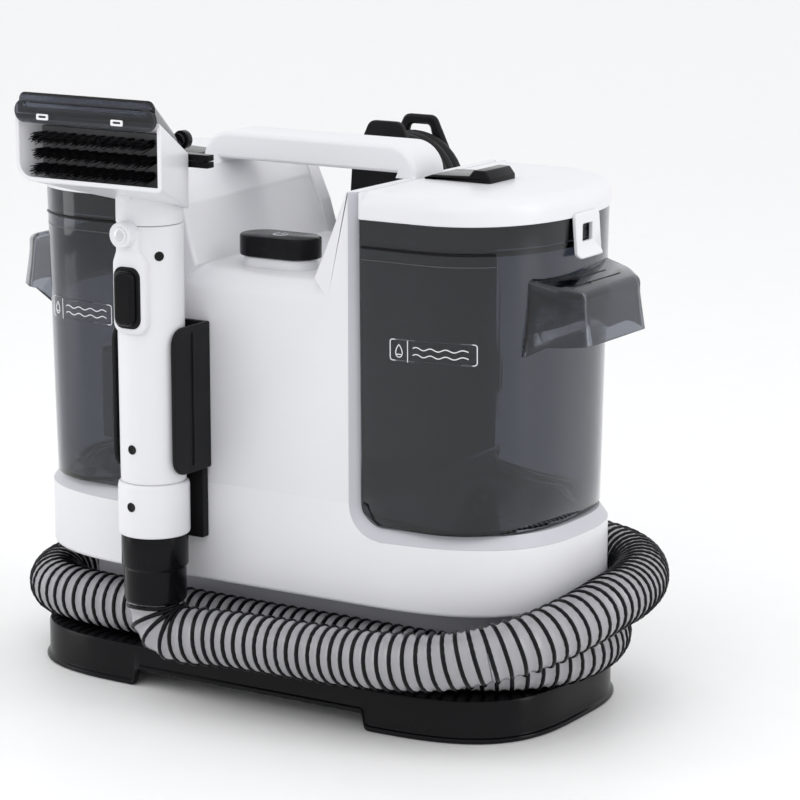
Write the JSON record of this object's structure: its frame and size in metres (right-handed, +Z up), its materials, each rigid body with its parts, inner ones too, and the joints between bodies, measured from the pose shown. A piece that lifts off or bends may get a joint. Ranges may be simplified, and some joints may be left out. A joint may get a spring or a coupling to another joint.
{
  "type": "portable carpet cleaner",
  "caption": "Portable carpet and upholstery cleaner: carry-handle tower between two clear water tanks, suction hose wound round the base, hand tool in a holder and a cord winder.",
  "frame": {"origin": "centre of the base, on the floor it stands on", "axes": "+X along the machine from the dirty tank to the clean tank, -Y towards the front with the wand, +Z up"},
  "size_m": [0.4177, 0.3019, 0.367],
  "materials": {
    "gloss_white": "gloss",
    "grey_trim": "satin",
    "black_plastic": "satin",
    "smoked_clear": "gloss",
    "dark_grey": "matte",
    "rubber": "matte",
    "hose_plastic": "satin",
    "cord_rubber": "matte",
    "steel": "brushed",
    "impeller_metal": "satin",
    "circuit_board": "matte",
    "float_plastic": "matte"
  },
  "bodies": {
    "machine": {"base_pan": "black_plastic", "hose_tray": "black_plastic", "rubber_feet": "rubber", "groove_wall": "grey_trim", "front_housing": "gloss_white", "rear_housing": "gloss_white", "left_bay_liner": "grey_trim", "right_bay_liner": "grey_trim", "alcove_liner": "gloss_white", "carry_handle": "gloss_white", "housing_screws": "steel", "button_pedestal": "gloss_white", "power_switch": "dark_grey", "control_board": "circuit_board", "wand_holder": "black_plastic", "hose_inlet": "black_plastic", "suction_hose": "hose_plastic", "exhaust_grille": "dark_grey", "upper_cord_hook": "black_plastic", "lower_cord_hook": "black_plastic", "strain_relief": "rubber", "cord_leads": "cord_rubber", "cord_winding": "cord_rubber", "power_plug": "black_plastic", "motor": "steel", "motor_mount": "black_plastic", "fan_housing": "dark_grey", "water_pump": "dark_grey", "air_duct": "dark_grey", "suction_pipe": "dark_grey"},
    "power_button": {"power_button": "black_plastic"},
    "impeller": {"impeller": "impeller_metal"},
    "clean_tank": {"clean_tank_shell": "smoked_clear", "clean_tank_grip": "smoked_clear"},
    "clean_valve": {"clean_valve": "black_plastic"},
    "clean_lid": {"clean_tank_lid": "gloss_white", "clean_tank_seal": "rubber"},
    "clean_latch": {"clean_lid_latch": "black_plastic"},
    "clean_clip": {"clean_lid_clip": "gloss_white"},
    "dirty_tank": {"dirty_tank_shell": "smoked_clear", "dirty_tank_grip": "smoked_clear", "dirty_standpipe": "dark_grey"},
    "float": {"dirty_float": "float_plastic"},
    "dirty_lid": {"dirty_tank_lid": "gloss_white", "dirty_tank_seal": "rubber"},
    "dirty_latch": {"dirty_lid_latch": "black_plastic"},
    "dirty_clip": {"dirty_lid_clip": "gloss_white"},
    "wand": {"wand_tube": "gloss_white", "wand_collar": "gloss_white", "hose_cuff": "black_plastic", "wand_spine": "gloss_white", "wand_plugs": "grey_trim", "water_valve": "dark_grey"},
    "trigger": {"trigger": "black_plastic"},
    "tool_head": {"head_shell": "gloss_white", "suction_nozzle": "smoked_clear", "nozzle_knob": "black_plastic", "bristle_plate": "dark_grey", "bristles": "dark_grey"},
    "head_button": {"head_button": "grey_trim"}
  },
  "joints": [
    {"name": "power_button_press", "type": "slide", "parent": "machine", "child": "power_button", "axis": [0, 0, -1], "range_m": [0, 0.003], "stiffness_N_per_m": 400},
    {"name": "impeller_spin", "type": "hinge", "parent": "machine", "child": "impeller", "pos_m": [0.015, 0, 0.14], "axis": [0, 0, 1], "continuous": true},
    {"name": "clean_tank_lift", "type": "slide", "parent": "machine", "child": "clean_tank", "axis": [0, 0, 1], "range_m": [0, 0.2]},
    {"name": "clean_valve_drop", "type": "slide", "parent": "clean_tank", "child": "clean_valve", "axis": [0, 0, -1], "range_m": [0, 0.003], "stiffness_N_per_m": 150},
    {"name": "clean_lid_lift", "type": "slide", "parent": "clean_tank", "child": "clean_lid", "axis": [0, 0, 1], "range_m": [0, 0.06]},
    {"name": "clean_latch_slide", "type": "slide", "parent": "clean_lid", "child": "clean_latch", "axis": [1, 0, 0], "range_m": [0, 0.008]},
    {"name": "clean_clip_swing", "type": "hinge", "parent": "clean_lid", "child": "clean_clip", "pos_m": [0.1785, 0, 0.299], "axis": [0, -1, 0], "range_deg": [0, 25], "stiffness_Nm_per_rad": 0.05},
    {"name": "dirty_tank_lift", "type": "slide", "parent": "machine", "child": "dirty_tank", "axis": [0, 0, 1], "range_m": [0, 0.2]},
    {"name": "float_rise", "type": "slide", "parent": "dirty_tank", "child": "float", "axis": [0, 0, 1], "range_m": [0, 0.02]},
    {"name": "dirty_lid_lift", "type": "slide", "parent": "dirty_tank", "child": "dirty_lid", "axis": [0, 0, 1], "range_m": [0, 0.06]},
    {"name": "dirty_latch_slide", "type": "slide", "parent": "dirty_lid", "child": "dirty_latch", "axis": [-1, 0, 0], "range_m": [0, 0.008]},
    {"name": "dirty_clip_swing", "type": "hinge", "parent": "dirty_lid", "child": "dirty_clip", "pos_m": [-0.1785, 0, 0.299], "axis": [0, 1, 0], "range_deg": [0, 25], "stiffness_Nm_per_rad": 0.05},
    {"name": "wand_draw", "type": "slide", "parent": "machine", "child": "wand", "axis": [0, -1, 0], "range_m": [0, 0.06]},
    {"name": "trigger_pull", "type": "slide", "parent": "wand", "child": "trigger", "axis": [0, 1, 0], "range_m": [0, 0.004], "stiffness_N_per_m": 500},
    {"name": "head_lift", "type": "slide", "parent": "wand", "child": "tool_head", "axis": [0, 0, 1], "range_m": [0, 0.05]},
    {"name": "head_button_press", "type": "slide", "parent": "tool_head", "child": "head_button", "axis": [0, 1, 0], "range_m": [0, 0.0025], "stiffness_N_per_m": 400}
  ]
}
